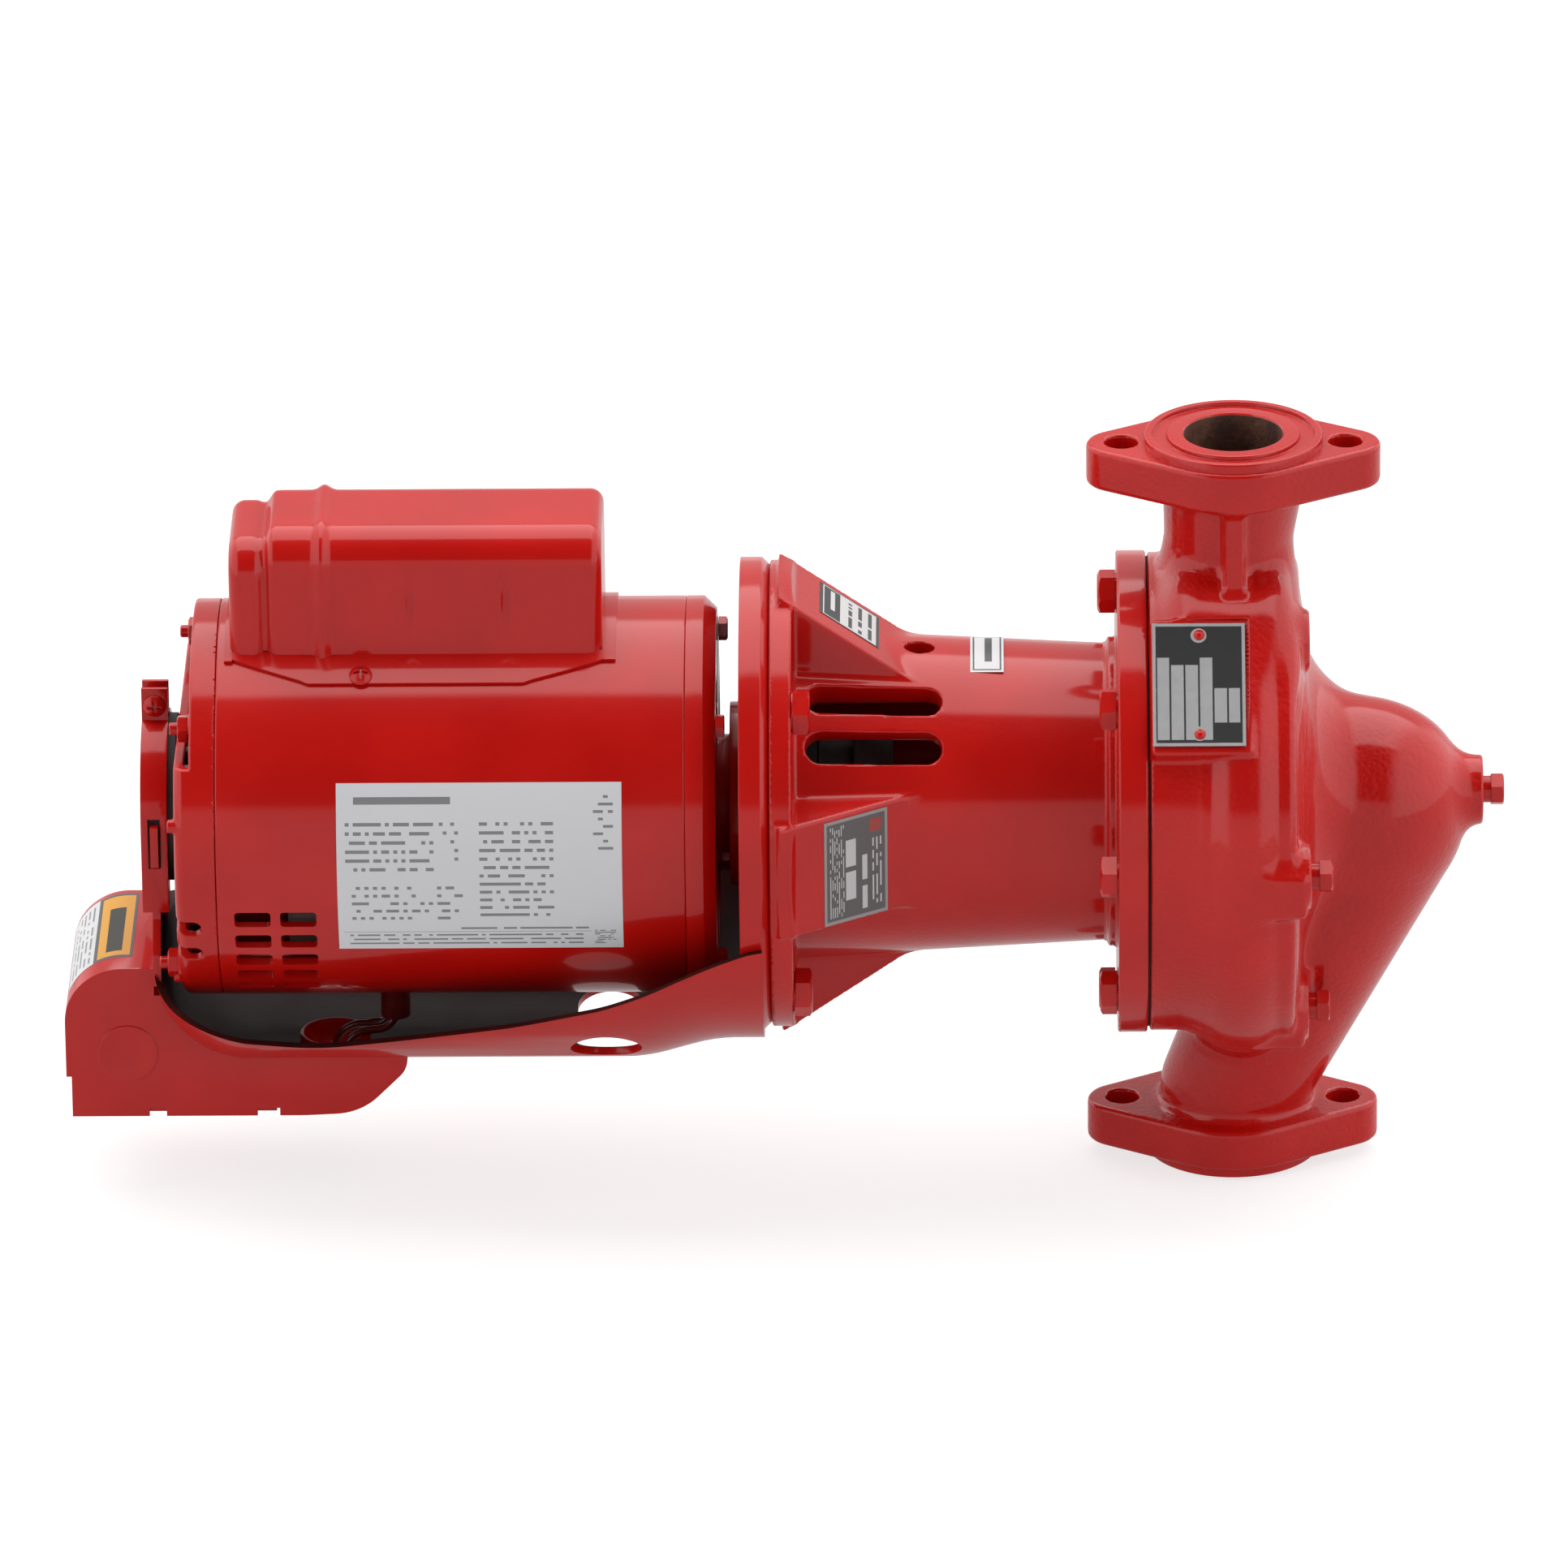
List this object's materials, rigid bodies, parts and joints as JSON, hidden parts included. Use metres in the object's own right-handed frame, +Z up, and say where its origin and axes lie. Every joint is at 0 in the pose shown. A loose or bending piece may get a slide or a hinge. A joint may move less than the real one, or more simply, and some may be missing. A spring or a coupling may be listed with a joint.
{
  "type": "circulator pump",
  "caption": "Red in-line booster circulator: flanged volute casing, cast bearing bracket and a cradle-mounted induction motor with capacitor cover and junction box.",
  "frame": {"origin": "centre of the suction (lower) flange's gasket face", "axes": "+Z up the pipe line towards the discharge flange, +X along the shaft from the motor towards the suction elbow, +Y away from the side with the nameplate"},
  "size_m": [0.545, 0.194, 0.292],
  "materials": {
    "cast_red": "gloss enamel over rough casting",
    "enamel_red": "smooth gloss enamel",
    "fastener_red": "gloss enamel, worn at the corners",
    "polished_steel": "ground",
    "bare_iron": "rough",
    "lamination_steel": "stacked sheets",
    "copper_wire": "varnished",
    "cast_aluminium": "satin",
    "bronze": "as cast",
    "black_rubber": "matt",
    "gasket_sheet": "matt",
    "seal_carbon": "lapped",
    "black_plastic": "matt",
    "painted_leads": "overpainted wire",
    "etched_plate": "black field with bare silver areas"
  },
  "bodies": {
    "housing": {"bearing_bracket": "cast_red", "bearing_snap_ring": "polished_steel", "box_cover_screws": "fastener_red", "bracket_bolts": "fastener_red", "bracket_nuts": "fastener_red", "capacitor": "cast_aluminium", "capacitor_cover": "enamel_red", "capacitor_pad": "black_plastic", "casing": "cast_red", "casing_bolts": "fastener_red", "casing_gasket": "gasket_sheet", "cover_screws": "fastener_red", "cradle_end_plate": "enamel_red", "cradle_tray": "enamel_red", "front_end_bell": "enamel_red", "front_rubber_ring": "black_rubber", "junction_box": "enamel_red", "junction_box_cover": "enamel_red", "lead_bushing": "enamel_red", "lead_grommet": "painted_leads", "motor_bearing_outer_races": "polished_steel", "motor_leads": "painted_leads", "motor_shell": "enamel_red", "nameplate": "etched_plate", "nameplate_rivets": "etched_plate", "pipe_plugs": "fastener_red", "pump_bearing_outer_races": "polished_steel", "rear_end_bell": "enamel_red", "rear_rubber_ring": "black_rubber", "seal_seat": "seal_carbon", "start_switch": "black_plastic", "stator_core": "lamination_steel", "stator_windings": "copper_wire", "strap_halves": "enamel_red", "strap_nut": "fastener_red", "strap_screw": "fastener_red", "thermal_protector": "black_plastic", "tie_bolt_nuts": "fastener_red", "tie_bolts": "fastener_red"},
    "motor_rotor": {"motor_shaft": "polished_steel", "rotor_core": "lamination_steel", "rotor_end_rings": "cast_aluminium", "cooling_fan": "black_plastic", "governor_disc": "polished_steel", "motor_bearing_inner_races": "polished_steel", "coupler_motor_hub": "bare_iron", "coupler_spider": "black_rubber", "motor_set_screw": "polished_steel"},
    "pump_rotor": {"pump_shaft": "polished_steel", "pump_bearing_inner_races": "polished_steel", "slinger": "black_rubber", "seal_head": "seal_carbon", "seal_spring": "polished_steel", "impeller": "bronze", "impeller_nut": "polished_steel", "coupler_pump_hub": "bare_iron", "pump_set_screw": "polished_steel"},
    "governor": {"governor_collar": "black_plastic"},
    "motor_ball_sets": {"motor_bearing_balls": "polished_steel"},
    "pump_ball_sets": {"pump_bearing_balls": "polished_steel"}
  },
  "joints": [
    {"name": "motor_spin", "type": "hinge", "parent": "housing", "child": "motor_rotor", "pos_m": [-0.29, 0, 0.146], "axis": [1, 0, 0], "continuous": true},
    {"name": "pump_spin", "type": "hinge", "parent": "housing", "child": "pump_rotor", "pos_m": [-0.08, 0, 0.146], "axis": [1, 0, 0], "continuous": true},
    {"name": "motor_ball_orbit", "type": "hinge", "parent": "housing", "child": "motor_ball_sets", "pos_m": [-0.29, 0, 0.146], "axis": [1, 0, 0], "continuous": true},
    {"name": "pump_ball_orbit", "type": "hinge", "parent": "housing", "child": "pump_ball_sets", "pos_m": [-0.08, 0, 0.146], "axis": [1, 0, 0], "continuous": true},
    {"name": "governor_slide", "type": "slide", "parent": "motor_rotor", "child": "governor", "axis": [1, 0, 0], "range_m": [0, 0.003], "stiffness_N_per_m": 1500, "springref_m": -0.0005}
  ],
  "couplings": [
    {"joint": "pump_spin", "follows": "motor_spin", "ratio": 1},
    {"joint": "motor_ball_orbit", "follows": "motor_spin", "ratio": 0.3947},
    {"joint": "pump_ball_orbit", "follows": "motor_spin", "ratio": 0.3947}
  ]
}
